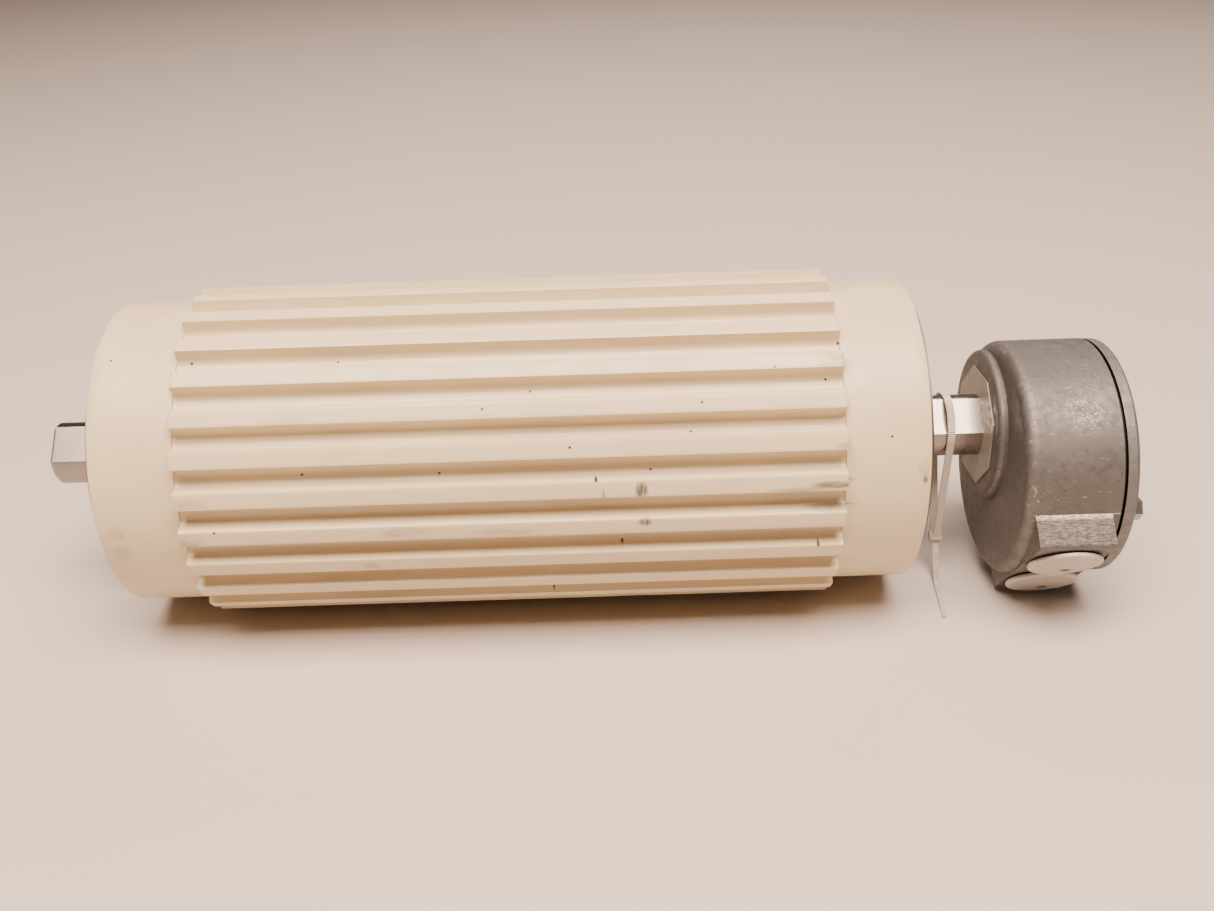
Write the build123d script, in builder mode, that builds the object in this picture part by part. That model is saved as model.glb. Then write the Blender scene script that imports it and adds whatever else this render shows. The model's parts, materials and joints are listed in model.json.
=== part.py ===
from build123d import *

import os
from math import acos, atan2, cos, degrees, pi, radians, sin, tan

os.makedirs("parts", exist_ok=True)

# Conveyor drum motor: a ribbed, rubber-lagged drum that turns on a fixed shaft, with its electric motor and
# gearbox inside it and a round terminal box on the end of the shaft. Millimetres, +Z up.
# +X runs along the drum axis towards the terminal box. The part rests on two ribs of its lagging.
# Stations are distances along the axis from the middle of the drum.

# Drum
TUBE_R = 56.65
TUBE_BORE_R = 53.25
TUBE_HALF = 155.3
LAGGING_HALF = 153.8
COLLAR_R = 60.5
RIB_R = 65.6
RIB_HALF = 122.4
RIB_COUNT = 27
LAND_DEG = 5.44
GROOVE_FLOOR_R = 59.3
GROOVE_FLANK_DEG = 12.0
GROOVE_ROOT_R = 3.0
CUTTER_ABOVE = 2.0

# Fixed shaft ends, Ø25 with two flats 20 across
SHAFT_R = 12.5
ACROSS_FLATS = 20.0
FLAT_DEG = 132.5
ENTRY_DEG = FLAT_DEG + 90.0
FLAT_START = 155.8
SHAFT_CHAMFER = 1.2
REAR_SHAFT_END = -188.7

# Socket head and machine screws inside the drum
SCREW_R = 2.0
SCREW_HEAD_R = 3.3

# End housings, shaft seals and main bearings
HOUSING_INNER = 131.0
SKIRT_INNER = 117.0
SEAL_R = 20.0
SEAL_INNER = 149.3
SEAL_LIP_WALL = 2.0
SHOULDER_R = 17.0
RECESS_DEPTH = 3.0
RECESS_OUTER_R, RECESS_INNER_R = 47.0, 33.0
O_RING_START, O_RING_END = 140.0, 143.0
O_RING_FLOOR_R = 50.85
OIL_PLUG_CIRCLE, OIL_PLUG_DEG = 40.0, 90.0
OIL_PLUG_R, OIL_PLUG_HEAD_R = 4.0, 6.2
OIL_PLUG_START = 139.0
OIL_PLUG_SUNK = 0.4
HEX_SOCKET_R, HEX_SOCKET_DEPTH = 2.9, 3.5
RUNNING_GAP = 0.05
CIRCLIP_INNER = 131.3
CIRCLIP_WIDTH = 1.5
CIRCLIP_R = 14.6
CIRCLIP_GROOVE_R = 11.7
CIRCLIP_OPENING = 5.0
MAIN_BEARING = {"bore": 12.5, "outer": 26.0, "width": 15.0, "ball": 3.97, "pitch": 19.25, "count": 9}
MAIN_BEARING_AT = 140.5
RACE_DEPTH, CAGE_HALF_WIDTH, CAGE_HALF_WALL = 0.8, 1.35, 0.35

# Gear train from the rotor to the ring gear in the rear end housing
PRESSURE = radians(25.0)
TOOTH_THINNING = 0.06
ROOT_DEPTH, RING_TIP_HEIGHT = 1.25, 0.85
RING_TEETH, PINION_TEETH, OUTPUT_MODULE = 48, 12, 1.5
SECOND_TEETH, SECOND_MODULE = 32, 1.25
FIRST_TEETH, FIRST_MODULE = 36, 1.0
OUTPUT_OFFSET = OUTPUT_MODULE * (RING_TEETH - PINION_TEETH) / 2
LAYSHAFT_OFFSET = FIRST_MODULE * (FIRST_TEETH + PINION_TEETH) / 2
SECOND_CENTRES = SECOND_MODULE * (SECOND_TEETH + PINION_TEETH) / 2
OUTPUT_SHAFT_R = 5.0
LAYSHAFT_R = 4.5
BUSH_WALL = 2.5
BUSH_GAP = 0.04
END_PLAY = 0.5
OUTPUT_PINION = (-129.5, -120.0)
SECOND_PINION, SECOND_GEAR = (-107.5, -98.5), (-107.0, -99.0)
FIRST_PINION, FIRST_GEAR = (-96.5, -89.0), (-96.0, -90.0)
OUTPUT_DEG = 90.0
RING_GEAR_R = 45.0
RING_GEAR_WIDTH = 12.0
RING_SCREW_CIRCLE = 41.4
RING_SCREW_REACH = 6.0
RING_SCREW_HEAD = 2.0
RING_SCREW_DEGS = (45.0, 135.0, 225.0, 315.0)

# Motor
CASING_R = 52.4
CORE_R = 50.0
GEARBOX_WALL_R = 49.0
SEAT_BOSS_R = 21.0
ROTOR_R = 27.0
AIR_GAP = 0.3
STACK_START, STACK_END = -45.0, 70.0
GEARBOX_START, PLATE_END, COVER_START, CASING_START = -115.0, -109.0, -87.0, -80.0
CASING_END, SHIELD_END = 92.0, 100.0
ROTOR_SHAFT_R = 7.5
ROTOR_SHAFT_END = 96.0
ROTOR_SLEEVE_R = 10.0
SHAFT_CLEARANCE = 1.0
ROTOR_BEARING = {"bore": 7.5, "outer": 17.5, "width": 11.0, "ball": 2.975, "pitch": 12.5, "count": 8}
ROTOR_BEARINGS_AT = (-73.5, 88.5)
SLOT_COUNT = 24
SLOT_INNER_R, SLOT_OUTER_R, SLOT_WIDTH = 30.0, 42.0, 3.6
HEAD_INNER_R, HEAD_OUTER_R, HEAD_LENGTH = 29.0, 45.0, 17.0
BAR_COUNT = 18
BAR_CIRCLE, BAR_R = 22.5, 2.0
END_RING_INNER_R, END_RING_OUTER_R, END_RING_LENGTH = 18.0, 26.0, 6.0

# Front shaft and the supply cable inside it
CUP_R, CUP_WALL, CUP_FLOOR, CUP_END = 44.0, 5.0, 121.0, 127.0
FLANGE_SCREW_CIRCLE = CUP_R - CUP_WALL / 2
FLANGE_SCREW_REACH = 6.0
FLANGE_SCREW_HEAD = 3.0
FLANGE_SCREW_DEGS = (0.0, 90.0, 180.0, 270.0)
CABLE_R = 3.0
CABLE_HOLE_GAP = 1.2
CABLE_TURN_IN, CABLE_ON_AXIS, CABLE_BEND_AT = 103.0, 117.0, 216.0
CABLE_BENDS = [10.0, 12.0, 9.0]
CABLE_BORE_R = 4.5
CABLE_RADIUS_FROM_AXIS = 33.0
HUB_INNER_END = 197.5
THREAD_R = 10.0
FRONT_SHAFT_END = 206.0

# Terminal box
BOX_R = 47.2
BOX_WALL = 3.7
BOX_OFFSET = 14.4
BOX_FACE = 191.2
BOX_FLOOR = 194.7
BOX_RIM = 227.2
BOX_EDGE_R = 4.5
HUB_FACE = 187.1
OCTAGON_R = 24.3
HUB_RING_R = 30.5
HUB_RING_FACE = 187.7
HUB_RING_EDGE_R = 2.4
HUB_BOSS_R = 20.0
GASKET = 1.0
GASKET_INNER_R, GASKET_OUTER_R = 36.5, 45.6
COVER_R = 47.0
COVER_FACE = 233.1
COVER_EDGE_R = 1.4
COVER_SCREW_CIRCLE = 40.5
COVER_SCREW_R = 2.5
COVER_SCREW_REACH = 5.5
COVER_BOSS_R, COVER_BOSS_LENGTH, COVER_HOLE_DEPTH = 5.0, 7.0, 6.0
COVER_SCREW_DEGS = (62.5, 182.5, 302.5)
SCREW_HEAD = 3.4
HEX_HALF = 4.0
ENTRY_AT = 209.5
ENTRY_FACE = 62.2
ENTRY_WIDTH = 28.8
ENTRY_NEAR, ENTRY_FAR = 32.0, -29.0
ENTRY_DEPTH = 26.0
ENTRY_EDGE_R = 1.8
ENTRY_HOLE_DEPTH = 18.0
PLUG_PLACES = {"upper_entry_plug": 15.4, "lower_entry_plug": -12.8}
PLUG_R = 14.0
PLUG_EDGE_R = 0.5
PLUG_THREAD_R = 10.0
PLUG_WALL = 1.6
PLUG_REACH = 9.0
PLUG_HEAD = 1.6
PLUG_SEAL = 0.8
SEAL_MARGIN = 1.8

# Inside the terminal box
LOCK_WASHER_R = 16.0
NUT_START = 198.5
NUT_HALF, NUT_WIDTH = 15.0, 7.0
BLOCK_NEAR, BLOCK_FAR, BLOCK_HALF = 22.0, 36.0, 16.0
BLOCK_FACE = 222.0
TERMINAL_SCREW_R, TERMINAL_SCREW_HEAD = 2.2, 1.6
TERMINAL_PITCH, TERMINAL_ROWS_APART = 9.5, 7.0
EARTH_CIRCLE, EARTH_DEG = 32.0, ENTRY_DEG + 90.0
EARTH_BOSS_R, EARTH_SCREW_R, EARTH_HEAD_R = 6.0, 2.5, 4.4
EARTH_BOSS_HEIGHT, EARTH_HEAD_HEIGHT, EARTH_HOLE_DEPTH = 3.0, 3.0, 2.0

# Cable tie left on the front shaft
TIE_AT = 174.0
TIE_WIDTH = 3.4
TIE_THICKNESS = 1.2
TIE_GAP = 0.3
TIE_BOTTOM_R = 1.4
TIE_HEAD = (-7.0, -49.0)
TIE_HEAD_LENGTH, TIE_HEAD_HEIGHT, TIE_HEAD_MARGIN = 5.0, 4.4, 0.8
TIE_HEAD_DEG = 60.0
TAIL_BEND = (-15.0, -60.0)
TAIL_LANDS, TAIL_ENDS = -22.0, -44.0
TAIL_ABOVE_REST = 0.1
TAIL_BEND_R = 5.0

# The drum axis is at the height where the part rests on the corners of two ribs, and the origin is under the
# middle of its length.
GROOVE_DEG = 360 / RIB_COUNT - LAND_DEG
AXIS_Z = RIB_R * cos(radians(GROOVE_DEG / 2))
DRUM_X = -(REAR_SHAFT_END + COVER_FACE + SCREW_HEAD) / 2


def across(station):
    """Plane across the axis: local X is the part's +Y and local Y is its +Z."""
    return Plane(origin=(DRUM_X + station, 0, AXIS_Z), x_dir=(0, 1, 0), z_dir=(1, 0, 0))


def across_entries(station):
    """Plane across the axis: local X points to the cable entries and local Y away from the upper flat."""
    towards = (0, cos(radians(ENTRY_DEG)), sin(radians(ENTRY_DEG)))
    return Plane(origin=(DRUM_X + station, 0, AXIS_Z), x_dir=towards, z_dir=(1, 0, 0))


def entry_plane(height):
    """Plane of the cable entries: local X is the part's +X and local Y points to the upper flat."""
    y, z = cos(radians(ENTRY_DEG)), sin(radians(ENTRY_DEG))
    return Plane(
        origin=(DRUM_X + ENTRY_AT, height * y, AXIS_Z + height * z), x_dir=(1, 0, 0), z_dir=(0, y, z)
    )


def turn(start, end, outer, inner=0, centre=(0, 0), mode=Mode.ADD):
    """Adds or cuts a round or a ring between two stations."""
    with BuildSketch(across(start)) as section:
        with Locations(centre):
            Circle(outer)
            if inner > 0:
                Circle(inner, mode=Mode.SUBTRACT)
    extrude(section.sketch, amount=end - start, mode=mode)


def flatted(start, end, mode=Mode.ADD):
    """Adds or cuts the shaft's section with its two flats between two stations."""
    with BuildSketch(across_entries(start)) as section:
        Circle(SHAFT_R)
        Rectangle(3 * SHAFT_R, ACROSS_FLATS, mode=Mode.INTERSECT)
    extrude(section.sketch, amount=end - start, mode=mode)


def polar(radius, angle_deg):
    """Place at a radius and an angle from local X."""
    return (radius * cos(radians(angle_deg)), radius * sin(radians(angle_deg)))


def pegs(start, end, radius, circle, angles, centre=(0, 0), mode=Mode.ADD):
    """Adds or cuts round pegs on a circle about a centre."""
    for angle in angles:
        y, z = polar(circle, angle)
        turn(start, end, radius, centre=(centre[0] + y, centre[1] + z), mode=mode)


def evenly(count):
    """Angles of a number of places spread evenly round a circle."""
    return [360 * index / count for index in range(count)]


def save(piece, name):
    """Labels a finished piece and writes it as one STEP file."""
    piece.part.label = name
    export_step(piece.part, f"parts/{name}.step")


# Gears ---------------------------------------------------------------------------------------------------


def involute(angle):
    """Angle that an involute has turned through where its pressure angle is this one."""
    return tan(angle) - angle


def tooth_outline(teeth, module, tip_r, root_r, thinning, phase_deg):
    """Closed outline of involute teeth about the origin, with a tooth's middle at the phase angle."""
    pitch_r = teeth * module / 2
    base_r = pitch_r * cos(PRESSURE)
    flank_r = max(root_r, base_r)
    radii = [root_r] + [flank_r + (tip_r - flank_r) * step / 3 for step in range(4)]
    if flank_r == root_r:
        radii = radii[1:]

    def half_angle(radius):
        pressure = acos(min(1.0, base_r / radius))
        half_tooth = pi / (2 * teeth) - thinning / (2 * pitch_r)
        return half_tooth + involute(PRESSURE) - involute(pressure)

    rising = [(radius, -half_angle(radius)) for radius in radii]
    falling = [(radius, half_angle(radius)) for radius in reversed(radii)]
    points = []
    for tooth in range(teeth):
        middle = radians(phase_deg) + 2 * pi * tooth / teeth
        for radius, turned in rising + falling:
            points.append((radius * cos(middle + turned), radius * sin(middle + turned)))
    return points


def teeth_between(start, end, teeth, module, phase_deg, centre=(0, 0)):
    """Adds an external gear's toothed body between two stations."""
    pitch_r = teeth * module / 2
    root_r = pitch_r - ROOT_DEPTH * module
    outline = tooth_outline(teeth, module, pitch_r + module, root_r, TOOTH_THINNING, phase_deg)
    with BuildSketch(across(start)) as section:
        with Locations(centre):
            Polygon(*outline, align=None)
    extrude(section.sketch, amount=end - start)


# The output shaft and the layshaft stand beside the axis, placed so that their gears mesh.
OFFSET_SQUARES = OUTPUT_OFFSET**2 + LAYSHAFT_OFFSET**2 - SECOND_CENTRES**2
SPREAD_COS = OFFSET_SQUARES / (2 * OUTPUT_OFFSET * LAYSHAFT_OFFSET)
LAYSHAFT_DEG = OUTPUT_DEG - degrees(acos(SPREAD_COS))
OUTPUT_AXIS = polar(OUTPUT_OFFSET, OUTPUT_DEG)
LAYSHAFT_AXIS = polar(LAYSHAFT_OFFSET, LAYSHAFT_DEG)
MESH_DEG = degrees(atan2(LAYSHAFT_AXIS[1] - OUTPUT_AXIS[1], LAYSHAFT_AXIS[0] - OUTPUT_AXIS[0]))
HALF_PINION_PITCH = 180 / PINION_TEETH


def make_gears():
    """The ring gear, and the two countershafts with their gears; each pinion is cut on its shaft."""
    pitch_r = RING_TEETH * OUTPUT_MODULE / 2
    tip_r = pitch_r - RING_TIP_HEIGHT * OUTPUT_MODULE
    space_r = pitch_r + ROOT_DEPTH * OUTPUT_MODULE
    gear_end = -HOUSING_INNER + RING_GEAR_WIDTH
    spaces = tooth_outline(RING_TEETH, OUTPUT_MODULE, space_r, tip_r, -TOOTH_THINNING, OUTPUT_DEG)
    with BuildPart() as ring_gear:
        with BuildSketch(across(-HOUSING_INNER)) as section:
            Circle(RING_GEAR_R)
            Polygon(*spaces, align=None, mode=Mode.SUBTRACT)
        extrude(section.sketch, amount=RING_GEAR_WIDTH)
        pegs(-HOUSING_INNER, gear_end, SCREW_R, RING_SCREW_CIRCLE, RING_SCREW_DEGS, mode=Mode.SUBTRACT)
    save(ring_gear, "output_ring_gear")

    with BuildPart() as output_shaft:
        teeth_between(*OUTPUT_PINION, PINION_TEETH, OUTPUT_MODULE, OUTPUT_DEG, OUTPUT_AXIS)
        turn(OUTPUT_PINION[1], CASING_START - END_PLAY, OUTPUT_SHAFT_R, centre=OUTPUT_AXIS)
    save(output_shaft, "output_pinion_shaft")

    with BuildPart() as second_gear:
        teeth_between(*SECOND_GEAR, SECOND_TEETH, SECOND_MODULE, MESH_DEG, OUTPUT_AXIS)
        turn(*SECOND_GEAR, OUTPUT_SHAFT_R, centre=OUTPUT_AXIS, mode=Mode.SUBTRACT)
    save(second_gear, "second_stage_gear")

    with BuildPart() as layshaft:
        turn(GEARBOX_START + END_PLAY, CASING_START - END_PLAY, LAYSHAFT_R, centre=LAYSHAFT_AXIS)
        facing = MESH_DEG + 180 + HALF_PINION_PITCH
        teeth_between(*SECOND_PINION, PINION_TEETH, SECOND_MODULE, facing, LAYSHAFT_AXIS)
    save(layshaft, "layshaft")

    with BuildPart() as first_gear:
        teeth_between(*FIRST_GEAR, FIRST_TEETH, FIRST_MODULE, LAYSHAFT_DEG + 180, LAYSHAFT_AXIS)
        turn(*FIRST_GEAR, LAYSHAFT_R, centre=LAYSHAFT_AXIS, mode=Mode.SUBTRACT)
    save(first_gear, "first_stage_gear")


# Bearings ------------------------------------------------------------------------------------------------


def bearing_rings(stations, size, inner):
    """The inner or the outer ring of a ball bearing at each station, as separate solids."""
    race = RACE_DEPTH * size["ball"]
    for station in stations:
        start, end = station - size["width"] / 2, station + size["width"] / 2
        if inner:
            turn(start, end, size["pitch"] - race, size["bore"])
        else:
            turn(start, end, size["outer"], size["pitch"] + race)
        with Locations(across(station)):
            Torus(size["pitch"], size["ball"] + RUNNING_GAP, mode=Mode.SUBTRACT)


def bearing_balls(stations, size, radius, mode=Mode.ADD):
    """The balls of a ball bearing at each station."""
    for station in stations:
        for angle in evenly(size["count"]):
            y, z = polar(size["pitch"], angle)
            with Locations((DRUM_X + station, y, AXIS_Z + z)):
                Sphere(radius, mode=mode)


def make_bearings(name, stations, size):
    """The rings, balls and cages of a pair of equal ball bearings."""
    with BuildPart() as inner_rings:
        bearing_rings(stations, size, inner=True)
    save(inner_rings, f"{name}_bearing_inner_rings")

    with BuildPart() as outer_rings:
        bearing_rings(stations, size, inner=False)
    save(outer_rings, f"{name}_bearing_outer_rings")

    with BuildPart() as balls:
        bearing_balls(stations, size, size["ball"])
    save(balls, f"{name}_bearing_balls")

    half_width, half_wall = CAGE_HALF_WIDTH * size["ball"], CAGE_HALF_WALL * size["ball"]
    outer, inner = size["pitch"] + half_wall, size["pitch"] - half_wall
    with BuildPart() as cages:
        for station in stations:
            turn(station - half_width, station + half_width, outer, inner)
        bearing_balls(stations, size, size["ball"] + RUNNING_GAP, mode=Mode.SUBTRACT)
    save(cages, f"{name}_bearing_cages")


# Drum ----------------------------------------------------------------------------------------------------


def make_drum():
    """The steel tube and the ribbed lagging on it."""
    with BuildPart() as drum_tube:
        turn(-TUBE_HALF, TUBE_HALF, TUBE_R, TUBE_BORE_R)
    save(drum_tube, "drum_tube")

    half_mouth = RIB_R * sin(radians(GROOVE_DEG / 2))
    slope = tan(radians(GROOVE_FLANK_DEG))
    depth = RIB_R - GROOVE_FLOOR_R
    half_floor = half_mouth - depth * slope
    half_top, top_r = half_mouth + CUTTER_ABOVE * slope, RIB_R + CUTTER_ABOVE
    corners = [
        (GROOVE_FLOOR_R, half_floor),
        (top_r, half_top),
        (top_r, -half_top),
        (GROOVE_FLOOR_R, -half_floor),
    ]
    with BuildSketch() as groove:
        with BuildLine():
            Polyline(*corners, close=True)
        make_face()
        fillet(groove.vertices().group_by(Axis.X)[0], GROOVE_ROOT_R)
    with BuildPart() as lagging:
        turn(-LAGGING_HALF, LAGGING_HALF, COLLAR_R, TUBE_R)
        turn(-RIB_HALF, RIB_HALF, RIB_R, TUBE_R)
        with BuildSketch(across(-RIB_HALF)) as grooves:
            with PolarLocations(0, RIB_COUNT, start_angle=-90):
                add(groove.sketch)
        extrude(grooves.sketch, amount=2 * RIB_HALF, mode=Mode.SUBTRACT)
    save(lagging, "drum_lagging")


def end_housing(side):
    """Machined housing pressed into one end of the tube, with its seats for the bearing and the seal."""
    turn(side * HOUSING_INNER, side * TUBE_HALF, TUBE_BORE_R)
    recess_floor = TUBE_HALF - RECESS_DEPTH
    seat_end = MAIN_BEARING_AT + MAIN_BEARING["width"] / 2
    turn(side * recess_floor, side * TUBE_HALF, RECESS_OUTER_R, RECESS_INNER_R, mode=Mode.SUBTRACT)
    turn(side * HOUSING_INNER, side * seat_end, MAIN_BEARING["outer"], mode=Mode.SUBTRACT)
    turn(side * HOUSING_INNER, side * SEAL_INNER, SHOULDER_R, mode=Mode.SUBTRACT)
    turn(side * SEAL_INNER, side * TUBE_HALF, SEAL_R, mode=Mode.SUBTRACT)
    turn(side * O_RING_START, side * O_RING_END, TUBE_BORE_R, O_RING_FLOOR_R, mode=Mode.SUBTRACT)


def make_end_housings():
    """The housings with their plug, screws, seals and circlips."""
    gear_end = -HOUSING_INNER + RING_GEAR_WIDTH
    screw_tip = -HOUSING_INNER - RING_SCREW_REACH
    with BuildPart() as rear_housing:
        end_housing(-1)
        turn(-HOUSING_INNER, -SKIRT_INNER, TUBE_BORE_R, RING_GEAR_R)
        pegs(-HOUSING_INNER, screw_tip, SCREW_R, RING_SCREW_CIRCLE, RING_SCREW_DEGS, mode=Mode.SUBTRACT)
    save(rear_housing, "rear_end_housing")

    with BuildPart() as ring_screws:
        pegs(gear_end, screw_tip, SCREW_R, RING_SCREW_CIRCLE, RING_SCREW_DEGS)
        pegs(gear_end, gear_end + RING_SCREW_HEAD, SCREW_HEAD_R, RING_SCREW_CIRCLE, RING_SCREW_DEGS)
    save(ring_screws, "ring_gear_screws")

    plug_place = polar(OIL_PLUG_CIRCLE, OIL_PLUG_DEG)
    with BuildPart() as front_housing:
        end_housing(1)
        turn(HOUSING_INNER, TUBE_HALF, OIL_PLUG_R, centre=plug_place, mode=Mode.SUBTRACT)
    save(front_housing, "front_end_housing")

    recess_floor, plug_top = TUBE_HALF - RECESS_DEPTH, TUBE_HALF - OIL_PLUG_SUNK
    with BuildPart() as oil_plug:
        turn(OIL_PLUG_START, recess_floor, OIL_PLUG_R, centre=plug_place)
        turn(recess_floor, plug_top, OIL_PLUG_HEAD_R, centre=plug_place)
        with BuildSketch(across(plug_top)) as socket:
            with Locations(plug_place):
                RegularPolygon(radius=HEX_SOCKET_R, side_count=6)
        extrude(socket.sketch, amount=-HEX_SOCKET_DEPTH, mode=Mode.SUBTRACT)
    save(oil_plug, "oil_plug")

    middle, cord_r = (O_RING_START + O_RING_END) / 2, (TUBE_BORE_R - O_RING_FLOOR_R) / 2
    with BuildPart() as o_rings:
        for side in (-1, 1):
            with Locations(across(side * middle)):
                Torus(O_RING_FLOOR_R + cord_r, cord_r)
    save(o_rings, "housing_o_rings")

    lip_outer, lip_inner = SEAL_R - SEAL_LIP_WALL, SHAFT_R + SEAL_LIP_WALL
    for side, name in ((-1, "rear_shaft_seal"), (1, "front_shaft_seal")):
        with BuildPart() as seal:
            turn(side * SEAL_INNER, side * TUBE_HALF, SEAL_R, SHAFT_R + RUNNING_GAP)
            turn(side * (TUBE_HALF - 1), side * TUBE_HALF, lip_outer, lip_inner, mode=Mode.SUBTRACT)
        save(seal, name)

    for side, name in ((-1, "rear_circlip"), (1, "front_circlip")):
        with BuildPart() as circlip:
            turn(side * CIRCLIP_INNER, side * (CIRCLIP_INNER + CIRCLIP_WIDTH), CIRCLIP_R, CIRCLIP_GROOVE_R)
            with BuildSketch(across(side * CIRCLIP_INNER)) as opening:
                Rectangle(2 * CIRCLIP_R, CIRCLIP_OPENING, align=(Align.MIN, Align.CENTER))
            extrude(opening.sketch, amount=side * CIRCLIP_WIDTH, mode=Mode.SUBTRACT)
        save(circlip, name)


# Gearbox and motor ---------------------------------------------------------------------------------------


COUNTERSHAFTS = ((OUTPUT_AXIS, OUTPUT_SHAFT_R), (LAYSHAFT_AXIS, LAYSHAFT_R))


def bearing_seat(station):
    """Start and end of the seat of a rotor bearing."""
    return station - ROTOR_BEARING["width"] / 2, station + ROTOR_BEARING["width"] / 2


def make_gearbox():
    """The pot that holds the gears, its cover with the rotor's rear bearing seat, and the four bushes."""
    with BuildPart() as housing:
        turn(GEARBOX_START, COVER_START, CASING_R)
        turn(PLATE_END, COVER_START, GEARBOX_WALL_R, mode=Mode.SUBTRACT)
        turn(GEARBOX_START, PLATE_END, SHAFT_R, mode=Mode.SUBTRACT)
        for axis, shaft_r in COUNTERSHAFTS:
            turn(GEARBOX_START, PLATE_END, shaft_r + BUSH_WALL, centre=axis, mode=Mode.SUBTRACT)
    save(housing, "gearbox_housing")

    seat_start, seat_end = bearing_seat(ROTOR_BEARINGS_AT[0])
    with BuildPart() as cover:
        turn(COVER_START, CASING_START, CASING_R)
        turn(CASING_START, seat_end, SEAT_BOSS_R)
        turn(seat_start, seat_end, ROTOR_BEARING["outer"], mode=Mode.SUBTRACT)
        turn(COVER_START, seat_start, ROTOR_SHAFT_R + SHAFT_CLEARANCE, mode=Mode.SUBTRACT)
        for axis, shaft_r in COUNTERSHAFTS:
            turn(COVER_START, CASING_START, shaft_r + BUSH_WALL, centre=axis, mode=Mode.SUBTRACT)
    save(cover, "gearbox_cover")

    with BuildPart() as bushes:
        for axis, shaft_r in COUNTERSHAFTS:
            for start, end in ((GEARBOX_START, PLATE_END), (COVER_START, CASING_START)):
                turn(start, end, shaft_r + BUSH_WALL, shaft_r + BUSH_GAP, centre=axis)
    save(bushes, "gearbox_bushes")


def slots(start, end, mode):
    """Adds or cuts the bars of winding that lie in the slots of the stator core."""
    with BuildSketch(across(start)) as section:
        with PolarLocations((SLOT_INNER_R + SLOT_OUTER_R) / 2, SLOT_COUNT):
            Rectangle(SLOT_OUTER_R - SLOT_INNER_R, SLOT_WIDTH)
    extrude(section.sketch, amount=end - start, mode=mode)


def make_motor():
    """The casing, wound stator, end shield and squirrel-cage rotor."""
    with BuildPart() as casing:
        turn(CASING_START, CASING_END, CASING_R, CORE_R)
    save(casing, "motor_casing")

    with BuildPart() as core:
        turn(STACK_START, STACK_END, CORE_R, ROTOR_R + AIR_GAP)
        slots(STACK_START, STACK_END, Mode.SUBTRACT)
    save(core, "stator_core")

    with BuildPart() as windings:
        slots(STACK_START, STACK_END, Mode.ADD)
        turn(STACK_START - HEAD_LENGTH, STACK_START, HEAD_OUTER_R, HEAD_INNER_R)
        turn(STACK_END, STACK_END + HEAD_LENGTH, HEAD_OUTER_R, HEAD_INNER_R)
    save(windings, "stator_windings")

    seat_start, seat_end = bearing_seat(ROTOR_BEARINGS_AT[1])
    pocket_end = ROTOR_SHAFT_END + SHAFT_CLEARANCE
    cable_place = polar(CABLE_RADIUS_FROM_AXIS, ENTRY_DEG + 180)
    screw_tip = SHIELD_END - FLANGE_SCREW_REACH
    with BuildPart() as shield:
        turn(CASING_END, SHIELD_END, CASING_R)
        turn(seat_start, CASING_END, SEAT_BOSS_R)
        turn(seat_start, seat_end, ROTOR_BEARING["outer"], mode=Mode.SUBTRACT)
        turn(seat_end, pocket_end, ROTOR_SHAFT_R + SHAFT_CLEARANCE, mode=Mode.SUBTRACT)
        turn(CASING_END, SHIELD_END, CABLE_R + CABLE_HOLE_GAP, centre=cable_place, mode=Mode.SUBTRACT)
        pegs(screw_tip, SHIELD_END, SCREW_R, FLANGE_SCREW_CIRCLE, FLANGE_SCREW_DEGS, mode=Mode.SUBTRACT)
    save(shield, "motor_end_shield")

    with BuildPart() as rotor_shaft:
        teeth_between(*FIRST_PINION, PINION_TEETH, FIRST_MODULE, LAYSHAFT_DEG + HALF_PINION_PITCH)
        turn(FIRST_PINION[1], ROTOR_SHAFT_END, ROTOR_SHAFT_R)
        turn(STACK_START, STACK_END, ROTOR_SLEEVE_R)
    save(rotor_shaft, "rotor_shaft")

    with BuildPart() as rotor_core:
        turn(STACK_START, STACK_END, ROTOR_R, ROTOR_SLEEVE_R)
        pegs(STACK_START, STACK_END, BAR_R, BAR_CIRCLE, evenly(BAR_COUNT), mode=Mode.SUBTRACT)
    save(rotor_core, "rotor_core")

    with BuildPart() as rotor_cage:
        pegs(STACK_START, STACK_END, BAR_R, BAR_CIRCLE, evenly(BAR_COUNT))
        turn(STACK_START - END_RING_LENGTH, STACK_START, END_RING_OUTER_R, END_RING_INNER_R)
        turn(STACK_END, STACK_END + END_RING_LENGTH, END_RING_OUTER_R, END_RING_INNER_R)
    save(rotor_cage, "rotor_cage")


# Shafts and cable ----------------------------------------------------------------------------------------


def circlip_groove(side):
    """Cuts the groove of the circlip that holds a main bearing."""
    start, end = side * CIRCLIP_INNER, side * (CIRCLIP_INNER + CIRCLIP_WIDTH)
    turn(start, end, CIRCLIP_R, CIRCLIP_GROOVE_R, mode=Mode.SUBTRACT)


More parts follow.
